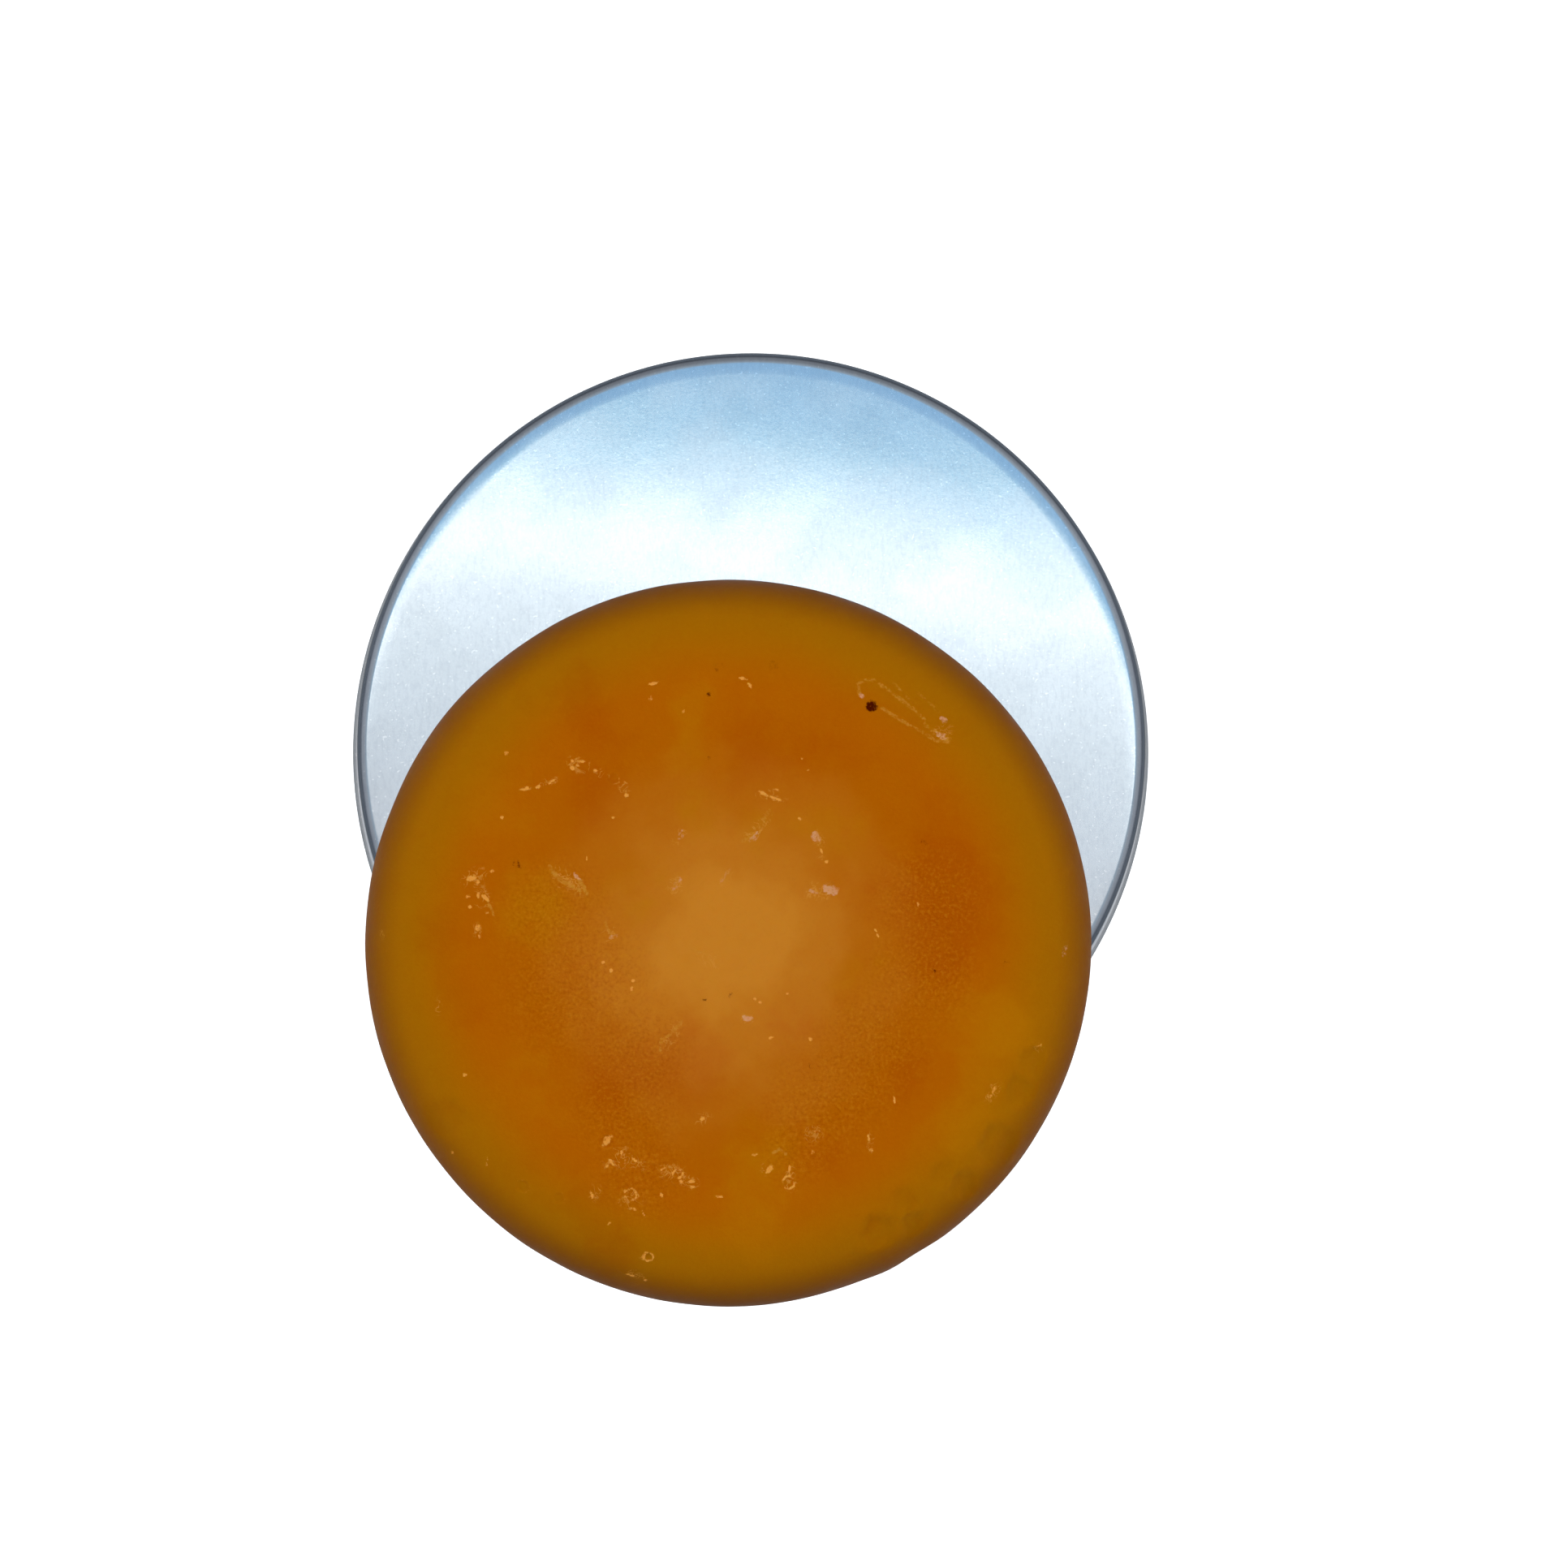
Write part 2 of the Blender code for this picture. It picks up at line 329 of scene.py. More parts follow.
def soap_material(soap):
    """Amber glycerin soap, hazy in the middle (partly a painted highlight), olive on its shoulder and brown
    at its side (partly painted shade on the rounded rim).
    """
    made, tree, shader = start_material("glycerin_soap")
    place = tree.add("ShaderNodeTexCoord").outputs["Object"]
    centred = tree.add("ShaderNodeMapping", {"Vector": place})
    centred.inputs["Location"].default_value = (-PUCK_AXIS.x, -PUCK_AXIS.y, -PUCK_HIGH.z)
    own = centred.outputs[0]
    parts = tree.add("ShaderNodeSeparateXYZ", {0: own})
    flat = tree.add("ShaderNodeCombineXYZ", {"X": parts.outputs["X"], "Y": parts.outputs["Y"]})
    reach = tree.add("ShaderNodeVectorMath", {0: flat.outputs[0]}, operation="LENGTH").outputs["Value"]
    wobble = tree.noise(own, 1 / (9 * MM), 3.0, 0.6)
    wander = tree.math("MULTIPLY", tree.math("SUBTRACT", wobble, 0.5), 12 * MM)
    inner = tree.math("DIVIDE", tree.math("ADD", reach, wander), PUCK_RADIUS)
    # Pale middle of the top: partly a dry bloom, partly a painted highlight.
    inner = tree.ramp(
        inner,
        [
            (0.0, soap.bloom_and_highlight),
            (0.13, soap.bloom_and_highlight),
            (0.25, tuple(h * 0.6 + a * 0.4 for h, a in zip(soap.bloom_and_highlight, soap.amber))),
            (0.42, tuple(h * 0.2 + a * 0.8 for h, a in zip(soap.bloom_and_highlight, soap.amber))),
            (0.56, soap.amber),
        ],
    )
    outer = tree.math("DIVIDE", tree.math("ADD", reach, tree.math("MULTIPLY", wander, 0.15)), PUCK_RADIUS)
    zones = tree.mix(tree.span(outer, 0.68, 0.88), inner, soap.olive)
    rim = tree.math("DIVIDE", reach, PUCK_RADIUS)
    # The rim's darker brown is partly painted shade where the rounded edge turns away from the light.
    zones = tree.mix(tree.span(rim, 0.88, 1.0), zones, soap.edge)

    cloud_and_dent_shade = tree.add("ShaderNodeAttribute", attribute_name="cloud_and_dent_shade").outputs["Fac"]
    mottle = tree.noise(own, 1 / (3.2 * MM), 3.0, 0.6, 0.4)
    cloud_and_dent_shade = tree.math("ADD", cloud_and_dent_shade, tree.math("MULTIPLY", tree.math("SUBTRACT", mottle, 0.5), 1.6))
    # Above 0 redder and darker: the soap's clouds and mottle, plus painted shade in the dents.
    zones = tree.mix(tree.span(cloud_and_dent_shade, 0.0, 1.3, 0.0, 0.8), zones, (0.92, 0.74, 0.7), "MULTIPLY")
    zones = tree.mix(tree.span(cloud_and_dent_shade, 0.0, -1.3, 0.0, 0.6), zones, (0.44, 0.155, 0.001))
    grain = add_grain(tree, own, 0.33 * MM, 8 * MM)
    pitted = tree.add("ShaderNodeAttribute", attribute_name="pitted").outputs["Fac"]
    pitted = tree.math("ADD", tree.math("MULTIPLY", pitted, 0.8), 0.12)
    # Colour follows the grain's height: paler on its high points, darker in its low points.
    paler_on_grain_peaks = tree.math("MULTIPLY", tree.span(grain.outputs["Height"], 0.5, 0.68), pitted)
    zones = tree.mix(tree.math("MULTIPLY", paler_on_grain_peaks, 0.30), zones, (0.58, 0.22, 0.01))
    darker_in_grain_pits = tree.math("MULTIPLY", tree.span(grain.outputs["Height"], 0.48, 0.34), pitted)
    zones = tree.mix(tree.math("MULTIPLY", darker_in_grain_pits, 0.35), zones, (0.28, 0.055, 0.0))

    crumb = tree.math("SUBTRACT", tree.noise(own, 1 / (0.28 * MM), 3.0, 0.6), 0.5)
    crumb = tree.math("MULTIPLY", crumb, 2.2)
    contour = tree.math("SUBTRACT", tree.noise(own, 1 / (1.1 * MM), 2.0, 0.6, 1.2), 0.5)
    strand = tree.math("SUBTRACT", 0.30, tree.math("MULTIPLY", tree.math("ABSOLUTE", contour), 14.0))
    for mask, breaker, colour, most in (
        ("wisp", strand, (0.60, 0.25, 0.035), 0.7),
        ("scored", crumb, (0.52, 0.215, 0.02), 0.75),
        # pale: partly the chipped soap's colour, partly painted glints on the chips' raised edges
        ("pale", crumb, (0.72, 0.30, 0.045), 0.95),
        ("pink", crumb, (0.62, 0.30, 0.14), 0.85),
        ("dark", crumb, (0.06, 0.003, 0.0), 1.0),
    ):
        field = tree.add("ShaderNodeAttribute", attribute_name=mask).outputs["Fac"]
        broken = tree.math("MULTIPLY", breaker, tree.span(field, 0.0, 0.3))
        share = tree.span(tree.math("ADD", field, broken), 0.12, 0.85, 0.0, most)
        zones = tree.mix(share, zones, colour)
    tree.tree.links.new(zones, shader.inputs["Base Color"])

    smear = tree.noise(own, 1 / (7 * MM), 3.0, 0.6)
    rough = tree.span(smear, 0.3, 0.7, 0.34, 0.5)
    tree.tree.links.new(rough, shader.inputs["Roughness"])
    depth = tree.math("ADD", tree.math("MULTIPLY", pitted, 0.85), 0.15)
    height = tree.math("MULTIPLY", grain.outputs["Height"], depth)
    bump = tree.add("ShaderNodeBump", {"Height": height, "Strength": 0.6, "Distance": 0.12 * MM})
    tree.tree.links.new(bump.outputs[0], shader.inputs["Normal"])
    shader.inputs["Subsurface Weight"].default_value = 0.35
    shader.inputs["Subsurface Radius"].default_value = (1.0, 0.35, 0.05)
    shader.inputs["Subsurface Scale"].default_value = 3 * MM
    shader.inputs["IOR"].default_value = 1.30
    shader.inputs["Specular IOR Level"].default_value = 0.18
    shader.inputs["Specular Tint"].default_value = (1.0, 0.42, 0.02, 1.0)
    return made


# ---------------------------------------------------------------- shapes


def arc(centre_r, centre_z, radius, start_deg, end_deg, step_deg=9.0):
    """Points of an outline along an arc, ends included."""
    start, turn = math.radians(start_deg), math.radians(end_deg - start_deg)
    steps = max(1, math.ceil(abs(end_deg - start_deg) / step_deg))
    angles = [start + turn * i / steps for i in range(steps + 1)]
    return [(centre_r + radius * math.cos(a), centre_z + radius * math.sin(a)) for a in angles]


def line(start, end, step):
    """Points along a straight stretch of an outline, both ends left out."""
    steps = max(1, math.ceil(math.dist(start, end) / step))
    return [tuple(a + (b - a) * i / steps for a, b in zip(start, end)) for i in range(1, steps)]


def smooth_step(share):
    """Soft change from 0 to 1."""
    share = min(1.0, max(0.0, share))
    return share * share * (3 - 2 * share)


def turn_outline(outline, segments):
    """A bmesh turned about a vertical axis from an outline that starts and ends on it."""
    work = bmesh.new()
    corners = [work.verts.new((r, 0.0, z)) for r, z in outline]
    edges = [work.edges.new(pair) for pair in zip(corners, corners[1:])]
    bmesh.ops.spin(
        work, geom=corners + edges, axis=(0, 0, 1), cent=(0, 0, 0),
        angle=math.tau, steps=segments, use_merge=True,
    )
    bmesh.ops.remove_doubles(work, verts=work.verts, dist=0.002 * MM)
    bmesh.ops.recalc_face_normals(work, faces=work.faces)
    return work


def finish_piece(name, work, material, body, node, sharp_deg=50):
    """Makes the object from a bmesh and places it in the frame."""
    mesh = bpy.data.meshes.new(name)
    work.to_mesh(mesh)
    work.free()
    mesh.shade_smooth()
    mesh.set_sharp_from_angle(angle=math.radians(sharp_deg))
    mesh.materials.append(material)
    piece = bpy.data.objects.new(name, mesh)
    bpy.context.scene.collection.objects.link(piece)
    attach(piece, body)
    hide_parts(node)
    return piece


def thread_bump(place, start_z, first_turn, turns, metal):
    """Share of the thread's height at a point of a wall, for a right-hand thread.

    start_z is the thread's height at turn 0, and it runs from first_turn for so many turns.
    """
    heading = math.atan2(place.y, place.x) / math.tau
    highest = 0.0
    for whole in range(-2, 3):
        turn = heading + whole
        run_out = 0.08
        ends = smooth_step((turn - first_turn) / run_out) * smooth_step((first_turn + turns - turn) / run_out)
        off = abs(place.z - start_z - turn * metal.pitch) / (metal.thread_width / 2)
        if off < 1:
            highest = max(highest, ends * (0.5 + 0.5 * math.cos(math.pi * off)))
    return highest


def lid_thread_start(metal):
    """Height of the middle of the lid's thread at its turn 0, just above the hem."""
    return LID_LOW.z + metal.hem_proud + metal.sheet + CLEARANCE + metal.thread_width / 2


class SOAPTIN_OT_lid(bpy.types.Operator):
    """Spun lid: top with faint dents, rolled thread in the skirt, hem rolled outward"""

    bl_idname = "soaptin.lid"
    bl_label = "Tin lid"

    def execute(self, context):
        metal = context.scene.soaptin_metal
        outer = LID_HIGH.x - metal.hem_proud
        inner = outer - metal.sheet
        top, ceiling = LID_HIGH.z, LID_HIGH.z - metal.sheet
        corner, inner_corner = metal.lid_corner, metal.lid_corner - metal.sheet
        hem = (metal.hem_proud + metal.sheet) / 2
        hem_r, hem_z = inner + hem, LID_LOW.z + hem
        hem_start = math.degrees(math.acos((outer - hem_r) / hem))
        face_step = 1.2 * MM
        corner_points = arc(outer - corner, top - corner, corner, 90, 0)
        hem_points = arc(hem_r, hem_z, hem, hem_start, -180)
        inside = arc(inner - inner_corner, ceiling - inner_corner, inner_corner, 0, 90)
        outline = [(0.0, top)] + line((0.0, top), corner_points[0], face_step) + corner_points
        outline += line(corner_points[-1], hem_points[0], WALL_STEP) + hem_points
        outline += line(hem_points[-1], inside[0], WALL_STEP) + inside
        outline += line(inside[-1], (0.0, ceiling), 3 * face_step) + [(0.0, ceiling)]
        work = turn_outline(outline, SEGMENTS)
        start_z = lid_thread_start(metal)
        dent_depth = 0.018 * MM
        for corner_point in work.verts:
            co = corner_point.co
            reach = math.hypot(co.x, co.y)
            on_wall = inner - TOUCH < reach < outer + TOUCH
            if on_wall and hem_z + hem < co.z < ceiling - inner_corner:
                sunk = metal.thread_height * thread_bump(co, start_z, 0.0, metal.thread_turns, metal)
                co.x *= (reach - sunk) / reach
                co.y *= (reach - sunk) / reach
            elif co.z > ceiling - TOUCH and reach < outer - corner:
                fade = smooth_step((outer - corner - reach) / (5 * MM))
                dent = 0.5 + 0.5 * noise.noise(Vector((co.x, co.y, 0.0)) / (17 * MM))
                co.z -= dent_depth * dent * fade
        # Where the lid's top corner gets painted shade in its colour.
        edge = (outer - corner, outer - 0.4 * MM, top - 2.2 * MM, top - corner)
        material = aluminium_material("lid_aluminium", metal.colour, edge)
        finish_piece("lid_shell", work, material, "lid", "tin_lid")
        return {"FINISHED"}


class SOAPTIN_OT_base(bpy.types.Operator):
    """Drawn cup with a threaded neck and a rim rolled inward"""

    bl_idname = "soaptin.base"
    bl_label = "Tin base"

    def execute(self, context):
        metal = context.scene.soaptin_metal
        outer = BASE_HIGH.x
        neck = outer - metal.sheet - CLEARANCE - metal.thread_height
        rim, floor = BASE_HIGH.z, metal.sheet
        corner, inner_corner = metal.base_corner, metal.base_corner - metal.sheet
        bead = metal.mouth_bead
        bead_end = 360 - math.degrees(math.acos((bead - metal.sheet) / bead))
        shoulder_top = LID_LOW.z - CLEARANCE
        steps = 12
        shoulder = [
            (outer + (neck - outer) * smooth_step(i / steps), shoulder_top - metal.shoulder * (1 - i / steps))
            for i in range(steps + 1)
        ]
        inner_shoulder = [(r - metal.sheet, z) for r, z in reversed(shoulder)]
        face_step, body_step = 2.5 * MM, 1.5 * MM
        low = arc(outer - corner, corner, corner, -90, 0)
        mouth = arc(neck - bead, rim - bead, bead, 0, bead_end)
        inside = arc(outer - metal.sheet - inner_corner, floor + inner_corner, inner_corner, 0, -90)
        groove_r, groove = outer - corner - 3.5 * MM, 0.15 * MM
        outline = [(0.0, groove), (groove_r - 0.8 * MM, groove), (groove_r, 0.0)]
        outline += low + line(low[-1], shoulder[0], body_step) + shoulder
        outline += line(shoulder[-1], mouth[0], WALL_STEP) + mouth
        outline += line(mouth[-1], inner_shoulder[0], WALL_STEP) + inner_shoulder
        outline += line(inner_shoulder[-1], inside[0], body_step) + inside
        outline += line(inside[-1], (0.0, floor), face_step) + [(0.0, floor)]
        work = turn_outline(outline, SEGMENTS)
        start_z = lid_thread_start(metal) + metal.pitch / 2
        for corner_point in work.verts:
            co = corner_point.co
            reach = math.hypot(co.x, co.y)
            on_neck = neck - metal.sheet - TOUCH < reach < neck + TOUCH
            if on_neck and shoulder_top < co.z < rim - bead:
                raised = metal.thread_height * thread_bump(co, start_z, -0.25, metal.thread_turns, metal)
                co.x *= (reach + raised) / reach
                co.y *= (reach + raised) / reach
        material = aluminium_material("base_aluminium", metal.colour)
        finish_piece("base_shell", work, material, "base", "tin_base")
        return {"FINISHED"}


class SOAPTIN_OT_liner(bpy.types.Operator):
    """Foam disc with a soft edge, pressed in where the rim of the base seals on it"""

    bl_idname = "soaptin.liner"
    bl_label = "Lid liner"

    def execute(self, context):
        metal = context.scene.soaptin_metal
        radius, low, high = LINER_HIGH.x, LINER_LOW.z, LINER_HIGH.z
        soft = 0.25 * MM
        groove_half, groove_depth = 1.2 * MM, 0.1 * MM
        rim = BASE_HIGH.x - metal.sheet - CLEARANCE - metal.thread_height - metal.mouth_bead
        press = [
            (
                rim + groove_half * math.sin(math.radians(a)),
                low + groove_depth * (0.5 + 0.5 * math.cos(math.radians(2 * a))),
            )
            for a in range(-90, 91, 15)
        ]
        edge = arc(radius - soft, low + soft, soft, -90, 0, 22)
        edge += arc(radius - soft, high - soft, soft, 0, 90, 22)
        outline = [(0.0, low)] + line((0.0, low), press[0], 2 * MM)
        outline += [p for p in press if p[0] < radius - soft] + edge
        outline += line(edge[-1], (0.0, high), 2 * MM) + [(0.0, high)]
        work = turn_outline(outline, SEGMENTS)
        finish_piece("foam_liner", work, foam_material(), "liner", "lid_liner")
        return {"FINISHED"}


# ---------------------------------------------------------------- the puck's marks
# All places are in millimetres from the puck's axis, +X right and +Y back, seen from above.

# (x, y, length, width, heading in degrees, strength): small pale chips and nicks; their pale colour is partly
# the chipped soap and partly painted glints of light on the chips' edges
PALE_NICKS_AND_GLINTS = (
    (-7.3, 25.4, 1.0, 0.35, 10, 1.0),
    (-7.6, 23.9, 0.9, 0.5, 80, 0.3),
    (-4.4, 22.7, 0.4, 0.4, 0, 0.7),
    (-21.7, 18.6, 0.5, 0.4, 0, 0.7),
    (-15.2, 17.1, 0.6, 0.4, -45, 1.0),
    (-14.7, 17.4, 0.5, 0.3, -20, 0.8),
    (-15.2, 17.8, 0.4, 0.3, -60, 0.7),
    (-14.3, 17.8, 0.9, 0.25, 0, 0.7),
    (-12.9, 16.9, 0.6, 0.35, -20, 0.9),
    (-10.0, 15.7, 0.7, 0.2, -25, 0.6),
    (-9.9, 14.5, 0.5, 0.4, 10, 1.0),
    (-11.2, 12.3, 0.4, 0.3, 0, 1.0),
    (-19.8, 15.1, 1.3, 0.4, 8, 1.0),
    (-18.6, 15.3, 0.5, 0.35, 30, 1.0),
    (-17.2, 15.8, 0.8, 0.25, 40, 0.8),
    (-22.1, 12.3, 0.4, 0.3, 0, 0.9),
    (-13.8, 8.3, 0.6, 0.2, 90, 0.6),
    (-25.1, 6.4, 1.1, 0.5, 30, 0.9),
    (-24.4, 6.0, 0.4, 0.35, 0, 1.0),
    (-23.1, 7.1, 0.7, 0.4, 0, 0.4),
    (-24.0, 7.3, 0.6, 0.4, 20, 0.4),
    (-25.4, 4.6, 0.6, 0.3, 25, 0.8),
    (-24.4, 4.8, 0.7, 0.3, 100, 0.7),
    (-23.7, 4.5, 0.9, 0.45, -40, 1.0),
    (-25.2, 3.6, 0.4, 0.35, 0, 1.0),
    (-23.5, 3.0, 0.5, 0.3, 0, 0.6),
    (-24.4, 1.6, 0.7, 0.45, 60, 0.8),
    (-24.3, 0.7, 0.4, 0.25, 90, 0.9),
    (-12.2, -1.8, 0.4, 0.35, 0, 1.0),
    (-11.4, -2.6, 0.35, 0.4, 0, 0.9),
    (-9.3, -3.6, 0.4, 0.35, 0, 1.0),
    (-9.4, -4.4, 0.5, 0.3, 80, 0.7),
    (-25.7, -12.8, 0.45, 0.35, 0, 0.9),
    (1.5, 25.9, 0.9, 0.3, -15, 0.9),
    (2.1, 25.2, 0.7, 0.3, -60, 1.0),
    (3.5, 14.6, 1.1, 0.3, -30, 1.0),
    (4.6, 14.2, 1.2, 0.25, -18, 0.9),
    (4.7, 15.0, 0.7, 0.2, -20, 0.6),
    (7.0, 12.2, 0.5, 0.3, -30, 0.6),
    (9.1, 9.0, 0.7, 0.25, -60, 0.9),
    (9.6, 8.0, 0.35, 0.3, 0, 0.9),
    (7.2, 18.1, 0.3, 0.25, 0, 0.6),
    (7.8, 16.9, 0.4, 0.25, 20, 0.5),
    (14.4, 1.3, 0.4, 0.2, -50, 0.9),
    (14.6, 0.8, 0.4, 0.2, -60, 0.9),
    (18.5, 3.9, 0.5, 0.2, 90, 0.7),
    (2.6, -5.4, 0.35, 0.3, 0, 0.9),
    (3.1, -5.7, 0.35, 0.3, 0, 0.9),
    (5.8, -4.9, 0.4, 0.25, 0, 0.8),
    (4.2, -9.2, 0.7, 0.3, 20, 0.7),
    (8.0, -9.3, 0.4, 0.4, 0, 0.9),
    (-11.9, -19.3, 1.5, 0.75, 55, 0.75),
    (-11.4, -21.3, 0.8, 0.3, -50, 1.0),
    (-11.8, -21.7, 0.4, 0.3, 60, 0.9),
    (-10.4, -20.4, 0.5, 0.35, 70, 1.0),
    (-9.1, -21.1, 0.9, 0.25, -40, 0.6),
    (-13.3, -24.5, 1.0, 0.3, 100, 0.8),
    (-9.2, -25.9, 0.8, 0.3, -30, 0.5),
    (-8.3, -26.3, 1.0, 0.2, -70, 0.5),
    (-6.5, -24.5, 0.7, 0.25, -70, 0.9),
    (-6.4, -22.0, 0.7, 0.3, 40, 0.7),
    (-5.7, -21.7, 0.4, 0.3, 0, 0.6),
    (-4.6, -23.2, 0.4, 0.4, 0, 1.0),
    (-11.6, -27.3, 0.5, 0.25, 40, 0.6),
    (-9.6, -32.5, 1.0, 0.25, -10, 0.7),
    (-8.1, -33.0, 0.4, 0.25, 0, 0.7),
    (-27.1, -20.5, 0.5, 0.35, 90, 0.4),
    (-23.6, -21.3, 1.2, 0.25, 80, 0.35),
    (-2.5, -17.1, 0.5, 0.4, 20, 0.9),
    (13.7, -18.9, 0.8, 0.22, 95, 1.0),
    (14.0, -20.1, 0.4, 0.35, 0, 0.7),
    (16.2, -15.2, 0.8, 0.22, 100, 0.9),
    (2.6, -20.6, 0.6, 0.3, 5, 0.8),
    (4.0, -22.0, 0.9, 0.6, 50, 0.9),
    (-3.6, -23.2, 0.8, 0.3, 0, 1.0),
    (-3.5, -23.7, 0.5, 0.25, 0, 0.8),
    (-0.8, -24.7, 0.7, 0.25, -10, 0.9),
    (6.0, -22.0, 0.8, 0.25, 85, 0.9),
    (8.2, -20.4, 0.7, 0.4, 60, 0.5),
    (8.6, -18.2, 0.8, 0.5, 40, 0.4),
    (30.3, -10.0, 0.7, 0.25, 20, 0.5),
    (26.0, -14.2, 0.9, 0.25, 60, 0.6),
    (25.5, -14.9, 0.8, 0.25, 35, 0.7),
)

# (x, y, length, width, heading in degrees, strength): pinkish lifted flakes
PINK_FLAKES = (
    (9.9, 5.2, 1.6, 1.0, -15, 0.85),
    (8.3, 5.1, 1.2, 0.35, -20, 0.5),
    (8.5, 10.4, 1.2, 1.0, -60, 0.6),
    (20.8, 20.3, 1.3, 0.7, -25, 0.55),
    (21.0, 21.9, 1.0, 0.6, -50, 0.6),
    (13.0, 24.2, 0.6, 0.5, -30, 0.7),
    (1.9, -7.3, 1.1, 0.7, -5, 0.9),
    (2.6, 10.5, 1.5, 0.5, 50, 0.4),
    (2.8, 10.5, 1.1, 0.35, 75, 0.4),
    (-0.3, 6.6, 2.0, 0.45, 55, 0.25),
    (-14.8, 6.6, 1.0, 0.45, -50, 0.7),
    (-11.2, 0.7, 1.1, 0.5, 20, 0.4),
    (-4.6, 10.6, 1.4, 0.6, 75, 0.3),
    (-5.0, 5.9, 1.6, 0.8, 60, 0.3),
    (33.0, -0.7, 1.4, 0.7, 80, 0.35),
)

# (x, y, length, width, heading in degrees, strength): tangles of fine pale strands
WISPS = (
    (-14.6, 17.5, 2.6, 1.6, -20, 0.55),
    (-12.4, 16.6, 1.8, 1.0, -30, 0.45),
    (-17.6, 15.7, 2.2, 1.0, 25, 0.45),
    (-10.2, 15.2, 1.6, 1.2, -60, 0.4),
    (-24.8, 6.4, 2.8, 1.9, 20, 0.6),
    (-24.0, 4.4, 2.2, 1.8, -50, 0.6),
    (-24.5, 1.3, 1.0, 1.8, 0, 0.5),
    (-15.8, 6.2, 3.6, 1.9, -35, 0.6),
    (-14.6, 5.6, 2.2, 1.4, -50, 0.5),
    (-11.6, 0.9, 2.0, 1.6, 30, 0.45),
    (-4.7, 10.4, 2.2, 1.4, 60, 0.45),
    (-5.0, 5.8, 2.6, 1.8, 50, 0.4),
    (-0.2, 6.4, 2.2, 1.0, 50, 0.35),
    (4.0, 14.4, 3.2, 1.2, -15, 0.6),
    (2.8, 11.2, 3.4, 1.6, 45, 0.5),
    (8.8, 10.2, 2.0, 1.4, -60, 0.45),
    (9.0, 5.2, 3.4, 1.8, 5, 0.55),
    (9.0, 8.4, 2.2, 0.8, -65, 0.4),
    (1.9, -7.3, 1.6, 1.2, 0, 0.5),
    (-1.9, -1.6, 3.2, 1.6, -40, 0.4),
    (-5.6, -9.0, 3.2, 1.6, 60, 0.45),
    (-10.8, -20.8, 3.4, 2.4, 30, 0.55),
    (-9.0, -21.4, 3.2, 1.6, -20, 0.45),
    (-5.2, -22.4, 3.6, 1.8, -25, 0.6),
    (-3.6, -23.4, 1.8, 1.4, 0, 0.55),
    (-9.4, -25.0, 3.0, 2.6, 0, 0.5),
    (-13.0, -24.2, 1.4, 2.2, 0, 0.45),
    (-2.6, -17.0, 2.0, 1.4, 20, 0.45),
    (3.8, -21.9, 1.8, 1.2, 40, 0.5),
    (6.1, -23.0, 1.4, 2.8, 0, 0.55),
    (8.2, -18.6, 2.4, 1.8, 50, 0.45),
    (13.9, -19.4, 0.9, 2.4, 0, 0.4),
    (25.8, -14.4, 2.8, 1.4, 50, 0.45),
    (30.2, -10.4, 2.0, 1.4, 50, 0.35),
    (21.0, 20.6, 2.2, 1.8, -30, 0.45),
    (-9.0, -32.4, 2.4, 0.9, -15, 0.4),
    (-28.3, -6.2, 0.8, 2.4, 0, 0.5),
    (-34.0, 1.0, 0.7, 1.6, 10, 0.4),
)

# (x, y, size, strength): dark bits and soft brown spots in the soap
DARK_BITS = (
    (14.0, 23.2, 0.54, 1.0),
    (-1.9, 24.3, 0.22, 0.55),
    (-1.9, 18.1, 0.2, 0.35),
    (-20.6, 7.7, 0.6, 0.3),
    (-1.0, 27.0, 0.7, 0.2),
    (4.4, 27.1, 0.7, 0.22),
    (19.9, -2.7, 0.2, 0.7),
    (19.2, 10.0, 0.2, 0.7),
    (0.3, -5.0, 0.3, 0.4),
    (-2.3, -5.5, 0.24, 0.3),
    (27.0, -1.9, 0.6, 0.2),
    (7.9, -11.8, 0.2, 0.4),
)

# (points, width, strength): thin scratches
SCRATCHES = (
    (
        (
            (12.8, 24.3), (12.7, 25.4), (13.4, 25.7), (14.3, 25.7), (15.4, 24.9), (16.9, 23.8),
            (18.2, 22.8), (19.1, 22.0), (19.2, 21.4), (20.0, 20.6), (21.4, 19.8),
        ),
        0.3,
        0.45,
    ),
    (
        (
            (15.0, 23.0), (15.8, 22.5), (17.4, 21.5), (19.1, 20.6),
            (20.3, 19.8), (21.5, 19.7), (21.0, 20.4), (20.2, 20.8),
        ),
        0.28,
        0.5,
    ),
    (((16.1, 25.5), (17.4, 24.1), (18.5, 23.2)), 0.25, 0.3),
    (((18.5, 24.5), (19.8, 23.4), (20.9, 22.3)), 0.25, 0.3),
    (((4.0, 13.0), (3.3, 11.8), (2.4, 10.5), (1.3, 10.0)), 0.35, 0.35),
    (((-17.4, 7.5), (-16.5, 6.3), (-15.4, 5.7), (-14.4, 5.2)), 0.35, 0.6),
    (((-14.6, 6.3), (-14.1, 5.6), (-13.8, 4.9)), 0.3, 0.7),
    (((-23.6, 4.4), (-23.1, 3.4), (-22.9, 2.8)), 0.22, 0.5),
    (((-4.6, -7.6), (-5.6, -8.8), (-6.5, -9.3), (-6.6, -10.4)), 0.3, 0.4),
    (((-3.2, -0.9), (-2.1, -1.0), (-1.2, -2.1)), 0.3, 0.35),
    (((-11.2, 0.7), (-11.8, 1.6), (-12.0, 2.2)), 0.25, 0.35),
    (((4.4, -20.4), (5.0, -20.0), (5.6, -20.5)), 0.25, 0.5),
)

